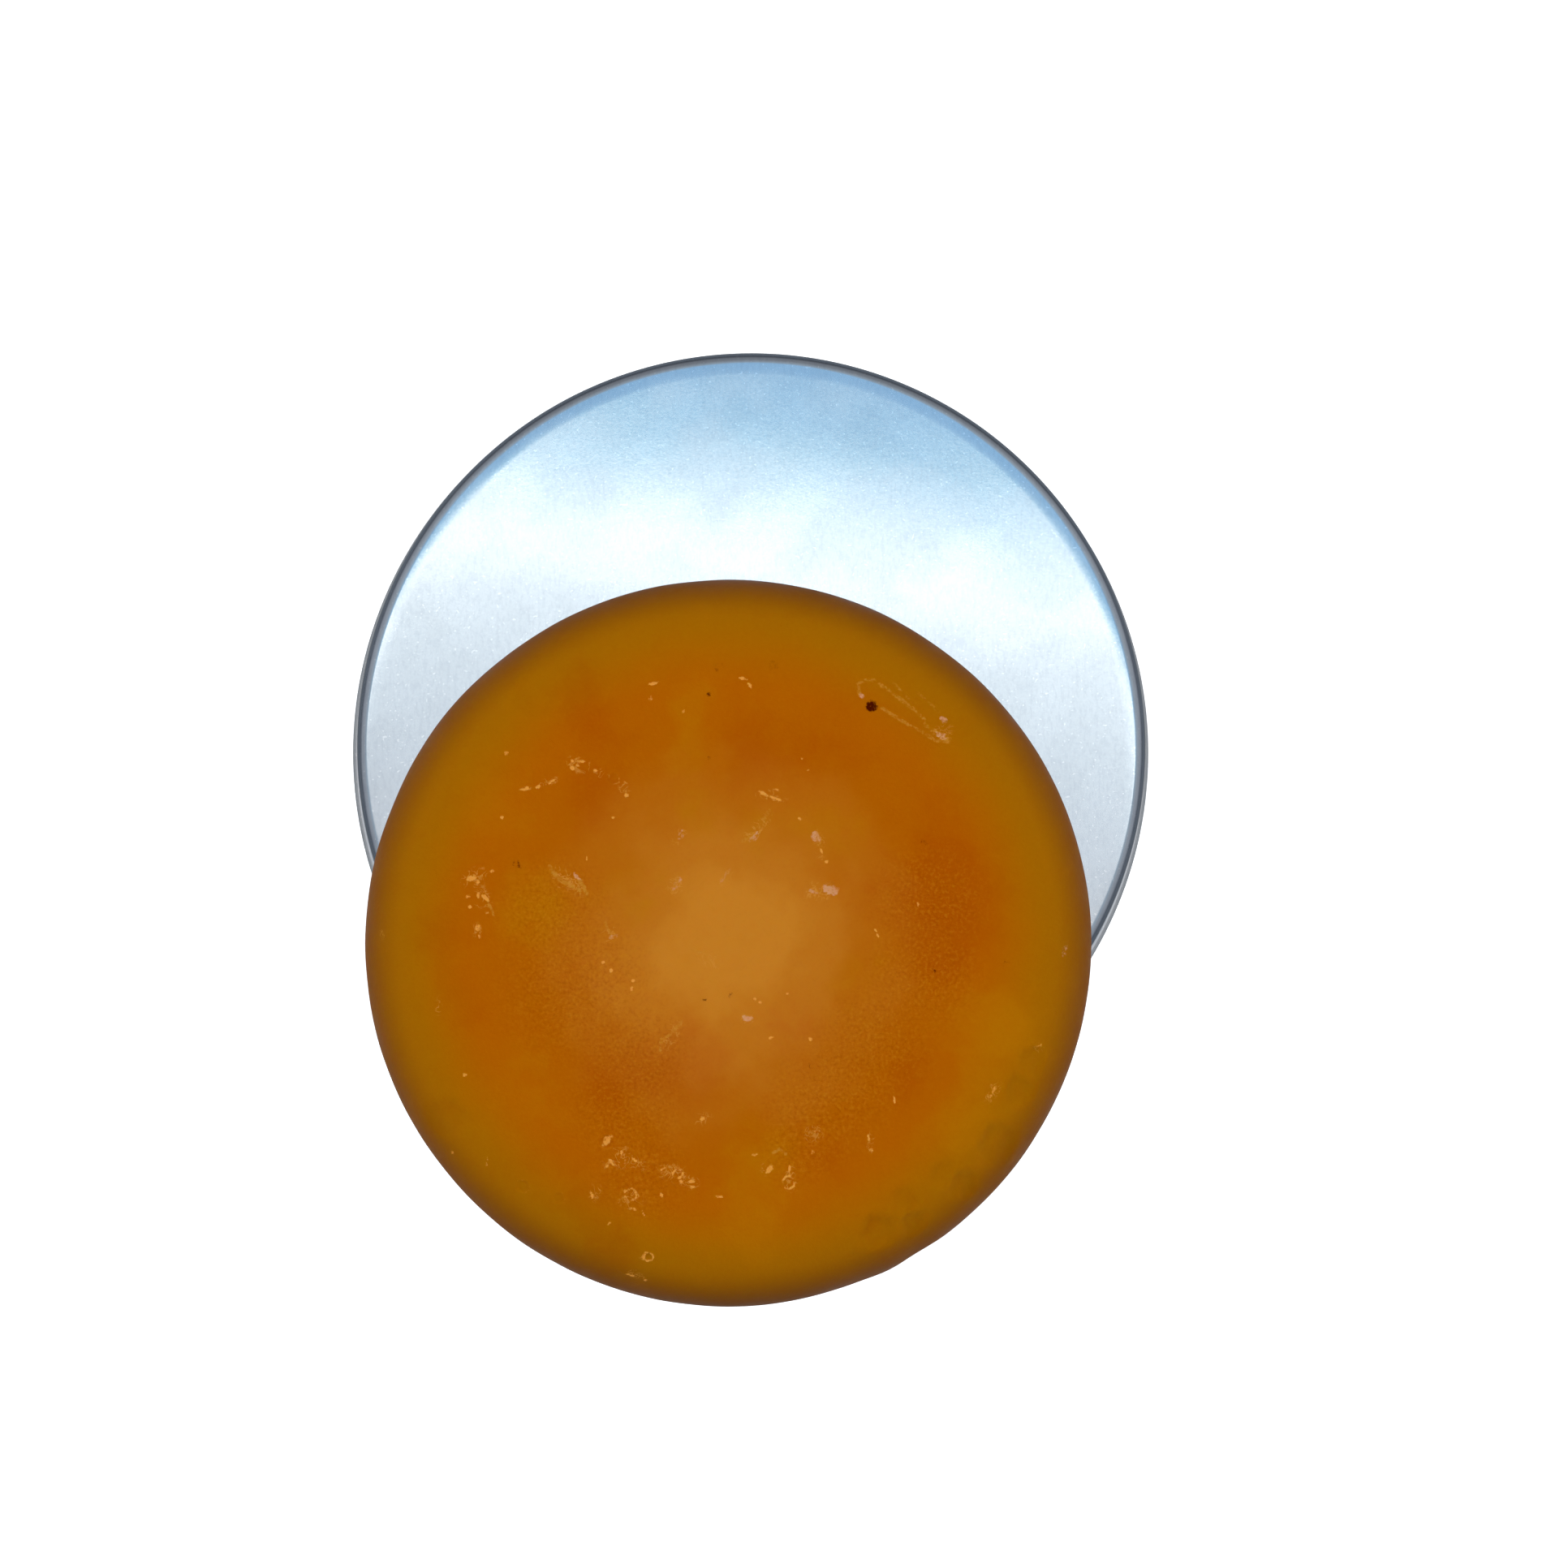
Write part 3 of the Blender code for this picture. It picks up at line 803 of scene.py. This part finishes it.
# (x, y, radius, strength): small rings left by burst bubbles
RINGS = (
    (-9.5, -24.5, 0.55, 0.85),
    (-7.8, -30.6, 0.45, 0.9),
    (5.9, -23.3, 0.6, 0.7),
    (-4.9, -22.4, 0.45, 0.8),
    (-11.2, 16.1, 0.6, 0.25),
    (-20.1, -23.7, 0.7, 0.25),
    (-16.6, -24.8, 0.6, 0.2),
)

# (x, y, radius, depth): shallow dents, most of them on the shoulder
DENTS = (
    (20.9, -22.4, 1.5, 0.16),
    (17.3, -24.9, 1.6, 0.14),
    (14.7, -28.1, 2.0, 0.22),
    (18.2, -27.3, 1.3, 0.18),
    (23.0, -23.5, 1.6, 0.2),
    (29.6, -11.3, 1.5, 0.14),
    (28.6, -14.2, 1.6, 0.18),
    (26.4, -19.5, 2.2, 0.2),
    (-27.5, -17.0, 2.4, 0.1),
    (-19.0, 24.0, 2.5, 0.1),
    (-11.9, -19.3, 0.7, 0.1),
    (9.9, 5.2, 0.9, 0.05),
)

# (x, y, radius): patches where the surface is finely pitted
PITTED = (
    (-15.0, -4.0, 8.0),
    (-17.0, 3.0, 6.0),
    (-9.0, -11.0, 6.0),
    (-10.0, -16.0, 6.0),
    (-8.5, -22.5, 5.0),
    (19.5, 4.0, 6.0),
    (19.0, -3.0, 6.0),
    (14.5, -9.5, 6.0),
    (9.0, -16.0, 6.0),
    (12.0, -13.0, 6.0),
    (7.0, -20.0, 4.0),
)

# (x, y, radius, shade): soft clouds in the soap, above 0 redder and below 0 yellower
CLOUDS = (
    (-14.5, 24.5, 3.0, 0.8),
    (-12.5, 20.0, 3.5, 0.7),
    (-13.0, 14.2, 3.2, 0.9),
    (2.7, 18.7, 4.5, 0.9),
    (10.5, 19.0, 4.0, 0.6),
    (20.0, 11.5, 4.0, 0.7),
    (22.5, 6.0, 4.5, 1.0),
    (21.5, 0.0, 4.5, 1.0),
    (15.3, 5.0, 3.5, 0.7),
    (-4.0, -11.5, 4.5, 1.2),
    (-12.0, -13.0, 4.0, 1.0),
    (6.4, -8.5, 4.0, 0.6),
    (18.5, -13.5, 3.5, 0.7),
    (9.0, -21.5, 2.5, 0.5),
    (-11.5, -29.5, 3.0, 0.9),
    (-14.0, -25.0, 2.5, 0.6),
    (-28.0, 0.5, 3.0, 0.6),
    (-26.0, -6.0, 3.0, 0.5),
    (-12.5, -3.0, 4.5, 0.4),
    (-20.0, -22.0, 4.0, 0.3),
    (-18.7, 3.4, 4.0, -1.0),
    (-3.5, 18.5, 2.6, -0.8),
    (-3.5, 23.5, 3.0, -0.6),
    (-3.0, 12.5, 2.6, -0.7),
    (3.7, 11.5, 3.0, -0.6),
    (10.5, 11.5, 3.5, -0.6),
    (26.0, -8.5, 4.5, -1.1),
    (22.5, -17.0, 4.5, -0.8),
    (3.5, -21.5, 4.5, -0.8),
    (2.0, -28.0, 4.0, -0.6),
    (-21.5, 13.0, 3.5, -0.6),
    (-19.0, -14.5, 5.0, -0.5),
    (12.0, -3.0, 4.0, -0.4),
    (-9.0, 5.0, 4.0, -0.5),
)


def nearest_on(points, x, y):
    """Distance from (x, y) to a chain of straight lines, and how far along it that is."""
    best, where = 1e9, 0.0
    for number, (a, b) in enumerate(zip(points, points[1:])):
        run_x, run_y = b[0] - a[0], b[1] - a[1]
        share = ((x - a[0]) * run_x + (y - a[1]) * run_y) / (run_x**2 + run_y**2)
        share = min(1.0, max(0.0, share))
        off = math.hypot(x - a[0] - share * run_x, y - a[1] - share * run_y)
        if off < best:
            best, where = off, number + share
    return best, where


def mark_reaches():
    """Centre and reach of each mark that needs a finer mesh, in millimetres."""
    found = [(x, y, 0.5 * max(length, width) + 0.3) for x, y, length, width, _, _ in PALE_NICKS_AND_GLINTS + PINK_FLAKES]
    sharpest_bits = DARK_BITS[:3]
    found += [(x, y, size + 0.3) for x, y, size, _ in sharpest_bits + RINGS]
    for points, width, _ in SCRATCHES:
        for a, b in zip(points, points[1:]):
            steps = max(1, math.ceil(math.dist(a, b) / 0.5))
            found += [
                (a[0] + (b[0] - a[0]) * i / steps, a[1] + (b[1] - a[1]) * i / steps, width + 0.3)
                for i in range(steps + 1)
            ]
    return found


def refine_near_marks(work, top_z):
    """Cuts the faces near a mark into smaller ones."""
    faces = [face for face in work.faces if face.calc_center_median().z > top_z]
    tree = kdtree.KDTree(len(faces))
    for number, face in enumerate(faces):
        centre = face.calc_center_median()
        tree.insert((centre.x / MM, centre.y / MM, 0.0), number)
    tree.balance()
    edges = set()
    for x, y, reach in mark_reaches():
        for _, number, _ in tree.find_range((x, y, 0.0), reach):
            edges.update(faces[number].edges)
    bmesh.ops.subdivide_edges(work, edges=list(edges), cuts=3, use_grid_fill=True, smooth=0.0)


class SOAPTIN_OT_puck(bpy.types.Operator):
    """Poured puck with its round edge, dents, nicks, flakes, scratches and pitted patches"""

    bl_idname = "soaptin.puck"
    bl_label = "Soap puck"

    def execute(self, context):
        soap = context.scene.soaptin_soap
        low, high = PUCK_LOW.z, PUCK_HIGH.z
        flat_r, edge_z = PUCK_RADIUS - soap.top_edge, high - soap.crown - soap.top_edge
        ring_step = 0.42 * MM
        rings = round(flat_r / ring_step)
        crown = [(flat_r * i / rings, high - soap.crown * (i / rings) ** 2) for i in range(rings)]
        bottom = arc(PUCK_RADIUS - soap.bottom_edge, low + soap.bottom_edge, soap.bottom_edge, -90, 0, 10)
        shoulder = arc(flat_r, edge_z, soap.top_edge, 0, 90, 3.2)
        outline = [(0.0, low)] + line((0.0, low), bottom[0], 4 * MM) + bottom
        outline += line(bottom[-1], shoulder[0], 1.2 * MM) + shoulder + crown[::-1]
        work = turn_outline(outline, PUCK_SEGMENTS)
        refine_near_marks(work, edge_z + 0.25 * soap.top_edge)
        work.normal_update()
        marks = self.mark_surface(work, edge_z)
        bmesh.ops.translate(work, verts=work.verts, vec=(PUCK_AXIS.x, PUCK_AXIS.y, 0.0))
        piece = finish_piece(
            "poured_puck", work, soap_material(soap), "puck", "soap_puck", 180
        )
        for name, values in marks.items():
            layer = piece.data.attributes.new(name, "FLOAT", "POINT")
            layer.data.foreach_set("value", values)
        return {"FINISHED"}

    def mark_surface(self, work, edge_z):
        """Moves the surface for every mark and returns the masks that colour it."""
        verts = list(work.verts)
        tree = kdtree.KDTree(len(verts))
        for number, vert in enumerate(verts):
            side = 0.0 if vert.co.z > edge_z else 1000.0
            tree.insert((vert.co.x / MM, vert.co.y / MM, side), number)
        tree.balance()
        names = ("pale", "pink", "dark", "scored", "wisp", "pitted", "cloud_and_dent_shade")
        masks = {name: [0.0] * len(verts) for name in names}
        lift = [0.0] * len(verts)
        for vert_number, vert in enumerate(verts):
            lift[vert_number] = self.pour_waves(vert.co)

        for name, nicks in (("pale", PALE_NICKS_AND_GLINTS), ("pink", PINK_FLAKES), ("wisp", WISPS)):
            mask = masks[name]
            for x, y, length, width, heading, strength in nicks:
                along = Vector((math.cos(math.radians(heading)), math.sin(math.radians(heading))))
                for co, number, _ in tree.find_range((x, y, 0.0), max(length, width)):
                    off = Vector((co.x - x, co.y - y))
                    share = math.hypot(off.dot(along) / (length / 2), off.cross(along) / (width / 2))
                    share += 0.45 * noise.noise(Vector((co.x * 2.3, co.y * 2.3, heading * 0.1)))
                    mask[number] = max(mask[number], strength * smooth_step((1.35 - share) / 0.9))
                    if nicks is not WISPS:
                        lift[number] += 0.05 * strength * smooth_step((1.3 - share) / 0.5)
                        lift[number] -= 0.08 * strength * smooth_step((0.75 - share) / 0.5)
        for x, y, size, strength in DARK_BITS:
            for _, number, off in tree.find_range((x, y, 0.0), size * 1.6):
                fade = smooth_step((1.5 - off / size) / 1.1)
                masks["dark"][number] = max(masks["dark"][number], strength * fade)
                lift[number] -= 0.03 * strength * fade
        for points, width, strength in SCRATCHES:
            middle = [sum(axis) / len(points) for axis in zip(*points)]
            reach = max(math.dist(middle, p) for p in points) + width
            for co, number, _ in tree.find_range((*middle, 0.0), reach):
                off, where = nearest_on(points, co.x, co.y)
                broken = 0.75 + 0.6 * noise.noise(Vector((where * 2.7, width * 9, strength * 5)))
                fade = smooth_step((width - off) / (0.75 * width)) * min(1.0, max(0.25, broken))
                masks["scored"][number] = max(masks["scored"][number], 1.4 * strength * fade)
                lift[number] += 0.03 * smooth_step((width * 1.4 - off) / width) - 0.05 * fade
        for x, y, radius, strength in RINGS:
            for co, number, off in tree.find_range((x, y, 0.0), radius * 1.7):
                turn = math.atan2(co.y - y, co.x - x)
                wave = 1 + 0.22 * noise.noise(Vector((math.cos(turn), math.sin(turn), x)) * 1.7)
                gap = 0.75 + 0.9 * noise.noise(Vector((math.cos(turn) * 1.2, math.sin(turn) * 1.2, y)))
                fade = smooth_step(1.15 - abs(off - radius * wave) / 0.17) * min(1.0, max(0.0, gap))
                # The ring's pale outline is partly painted glint on its raised rim.
                masks["pale"][number] = max(masks["pale"][number], strength * fade)
                lift[number] += 0.05 * strength * fade - 0.08 * smooth_step((radius - off) / 0.3)
        for x, y, radius, depth in DENTS:
            for co, number, off in tree.find_range((x, y, 0.0), radius * 1.3):
                share = off / radius + 0.25 * noise.noise(Vector((co.x, co.y, x)) * 0.9)
                hollow = smooth_step((1.0 - share) / 0.45)
                lift[number] += depth * (0.25 * smooth_step(1.0 - abs(share - 1.0) / 0.3) - 1.5 * hollow)
                # Painted shade: each dent's hollow is coloured redder and darker.
                masks["cloud_and_dent_shade"][number] += 0.35 * hollow * smooth_step(depth / 0.15)
        for x, y, radius in PITTED:
            for _, number, off in tree.find_range((x, y, 0.0), radius * 1.2):
                fade = smooth_step((1.2 - off / radius) / 0.9)
                masks["pitted"][number] = max(masks["pitted"][number], fade)
        for x, y, radius, shade in CLOUDS:
            for _, number, off in tree.find_range((x, y, 0.0), radius * 1.6):
                masks["cloud_and_dent_shade"][number] += shade * smooth_step((1.6 - off / radius) / 1.4)
        for vert, height in zip(verts, lift):
            vert.co += vert.normal * (height * MM)
        return masks

    @staticmethod
    def pour_waves(co):
        """Broad unevenness and two patches near the edge, one raised, one sunk, in millimetres outward."""
        place = Vector((co.x, co.y, co.z)) / MM
        height = 0.10 * noise.noise(place / 13.0) + 0.05 * noise.noise(place / 4.5)
        reach = math.hypot(place.x, place.y)
        heading = math.degrees(math.atan2(place.y, place.x))
        for middle, half, depth in ((-64, 5, -0.12), (-58, 5, 0.08)):
            height -= depth * smooth_step((reach - 28) / 6) * smooth_step(1 - abs(heading - middle) / half)
        overall = 0.14
        return height + overall


# ---------------------------------------------------------------- stage


def add_softbox(name, place, aim, size, power):
    """Rectangular light that mirror rays don't see."""
    light = bpy.data.lights.new(name, "AREA")
    light.shape = "RECTANGLE"
    light.size, light.size_y = size
    light.energy = power
    box = bpy.data.objects.new(name, light)
    box.visible_glossy = False
    box.location = place
    box.rotation_euler = (Vector(aim) - Vector(place)).to_track_quat("-Z", "Y").to_euler()
    bpy.context.scene.collection.objects.link(box)


def studio_world():
    """A pale room: a bright bar overhead, blue beyond it, and a dark horizon that draws metal edges."""
    world = bpy.data.worlds.new("studio")
    world.use_nodes = True
    tree = Tree(world.node_tree)
    plain = world.node_tree.nodes["Background"]
    way = tree.add("ShaderNodeTexCoord").outputs["Generated"]
    parts = tree.add("ShaderNodeSeparateXYZ", {0: way})
    up = tree.math("MAXIMUM", parts.outputs["Z"], 0.05)
    north = tree.math("DIVIDE", parts.outputs["Y"], up)
    east = tree.math("DIVIDE", parts.outputs["X"], up)
    tilt = tree.math("MULTIPLY", east, 0.11)
    bend = tree.math("MULTIPLY", tree.math("MULTIPLY", east, east), 0.6)
    slope = tree.math("ADD", north, tree.math("ADD", tilt, bend))
    bar = tree.ramp(
        tree.math("DIVIDE", tree.math("ADD", slope, 0.10), 0.5),
        [
            (0.00, (0.24, 0.245, 0.26)),
            (0.20, (0.285, 0.295, 0.31)),
            (0.30, (0.33, 0.36, 0.39)),
            (0.40, (0.40, 0.45, 0.48)),
            (0.437, (0.76, 0.78, 0.78)),
            (0.470, (0.76, 0.78, 0.78)),
            (0.500, (0.145, 0.375, 0.47)),
            (0.530, (0.132, 0.235, 0.350)),
        ],
    )
    side = tree.span(east, -0.22, 0.02, 0.94, 1.0)
    side = tree.add("ShaderNodeCombineColor", {0: side, 1: side, 2: side}).outputs[0]
    bar = tree.mix(1.0, bar, side, "MULTIPLY")
    height = parts.outputs["Z"]
    dome = tree.ramp(
        height,
        [
            (0.0, (0.14, 0.14, 0.14)),
            (0.2, (0.20, 0.20, 0.21)),
            (0.4, (0.27, 0.275, 0.285)),
            (0.7, (0.20, 0.215, 0.235)),
            (0.93, (0.155, 0.19, 0.225)),
        ],
    )
    ends = tree.span(tree.math("ABSOLUTE", parts.outputs["Y"]), 0.25, 0.85, 1.0, 0.62)
    ends = tree.add("ShaderNodeCombineColor", {0: ends, 1: ends, 2: ends}).outputs[0]
    dome = tree.mix(1.0, dome, ends, "MULTIPLY")
    room = tree.mix(tree.span(height, 0.90, 0.97), dome, bar)
    seen = tree.add("ShaderNodeLightPath").outputs["Is Camera Ray"]
    shown = tree.mix(seen, room, (0.45, 0.45, 0.45))
    tree.tree.links.new(shown, plain.inputs["Color"])
    plain.inputs["Strength"].default_value = 2.3
    bpy.context.scene.world = world


def floor_material():
    """Pale floor that stays white to the eye and gives little light back to the metal."""
    made, tree, shader = start_material("pale_floor")
    shader.inputs["Base Color"].default_value = (0.9, 0.9, 0.9, 1.0)
    shader.inputs["Roughness"].default_value = 0.9
    shader.inputs["Specular IOR Level"].default_value = 0.0
    seen = tree.add("ShaderNodeLightPath").outputs["Is Camera Ray"]
    shader.inputs["Emission Color"].default_value = (1.0, 1.0, 1.0, 1.0)
    tree.tree.links.new(tree.math("MULTIPLY", seen, 0.62), shader.inputs["Emission Strength"])
    tint = tree.mix(seen, (0.36, 0.36, 0.36), (0.9, 0.9, 0.9))
    tree.tree.links.new(tint, shader.inputs["Base Color"])
    return made


class SOAPTIN_OT_stage(bpy.types.Operator):
    """Pale floor, soft light and the camera that looks straight down"""

    bl_idname = "soaptin.stage"
    bl_label = "Stage"

    def execute(self, context):
        stage = context.scene.soaptin_stage
        scene = context.scene
        scene.view_settings.view_transform = "Standard"
        work = bmesh.new()
        bmesh.ops.create_grid(work, x_segments=8, y_segments=8, size=3.0)
        mesh = bpy.data.meshes.new("floor")
        work.to_mesh(mesh)
        work.free()
        mesh.materials.append(floor_material())
        floor = bpy.data.objects.new("floor", mesh)
        scene.collection.objects.link(floor)
        studio_world()
        puck = (PUCK_AXIS.x, PUCK_AXIS.y, PUCK_HIGH.z)
        add_softbox("top_softbox", (-0.05, 0.20, 0.85), puck, (0.40, 0.30), 0.6 * stage.key_power)
        add_softbox("left_softbox", (-0.55, 0.05, 0.45), puck, (0.20, 0.40), stage.key_power)
        add_softbox("right_softbox", (0.55, 0.02, 0.45), puck, (0.20, 0.40), stage.key_power)

        camera = bpy.data.objects.new("camera", bpy.data.cameras.new("camera"))
        camera.data.lens = stage.lens
        camera.data.sensor_width = 36.0
        camera.data.shift_x = 0.0327
        camera.data.shift_y = 0.0875
        camera.data.clip_start = 0.01
        camera_x, camera_y = -1.95 * MM, -18.3 * MM
        camera.location = (camera_x, camera_y, LID_HIGH.z + stage.camera_height)
        scene.collection.objects.link(camera)
        scene.camera = camera
        return {"FINISHED"}


class SOAPTIN_PT_panel(bpy.types.Panel):
    """Buttons and values of the soap tin"""

    bl_label = "Soap Tin"
    bl_idname = "SOAPTIN_PT_panel"
    bl_space_type = "VIEW_3D"
    bl_region_type = "UI"
    bl_category = "Soap Tin"

    def draw(self, context):
        for operator in STEPS:
            self.layout.operator(operator.bl_idname)
        for group in (context.scene.soaptin_metal, context.scene.soaptin_soap, context.scene.soaptin_stage):
            box = self.layout.box()
            for name in group.bl_rna.properties.keys():
                if name not in {"rna_type", "name"}:
                    box.prop(group, name)


STEPS = (SOAPTIN_OT_stage, SOAPTIN_OT_base, SOAPTIN_OT_liner, SOAPTIN_OT_lid, SOAPTIN_OT_puck)
GROUPS = (SoapTinMetal, SoapTinSoap, SoapTinStage)


def register():
    for part in (*GROUPS, *STEPS, SOAPTIN_PT_panel):
        bpy.utils.register_class(part)
    bpy.types.Scene.soaptin_metal = bpy.props.PointerProperty(type=SoapTinMetal)
    bpy.types.Scene.soaptin_soap = bpy.props.PointerProperty(type=SoapTinSoap)
    bpy.types.Scene.soaptin_stage = bpy.props.PointerProperty(type=SoapTinStage)


def unregister():
    del bpy.types.Scene.soaptin_stage
    del bpy.types.Scene.soaptin_soap
    del bpy.types.Scene.soaptin_metal
    for part in reversed((*GROUPS, *STEPS, SOAPTIN_PT_panel)):
        bpy.utils.unregister_class(part)


def main():
    register()
    bpy.ops.soaptin.stage()
    bpy.ops.soaptin.base()
    bpy.ops.soaptin.liner()
    bpy.ops.soaptin.lid()
    bpy.ops.soaptin.puck()


if __name__ == "__main__":
    main()
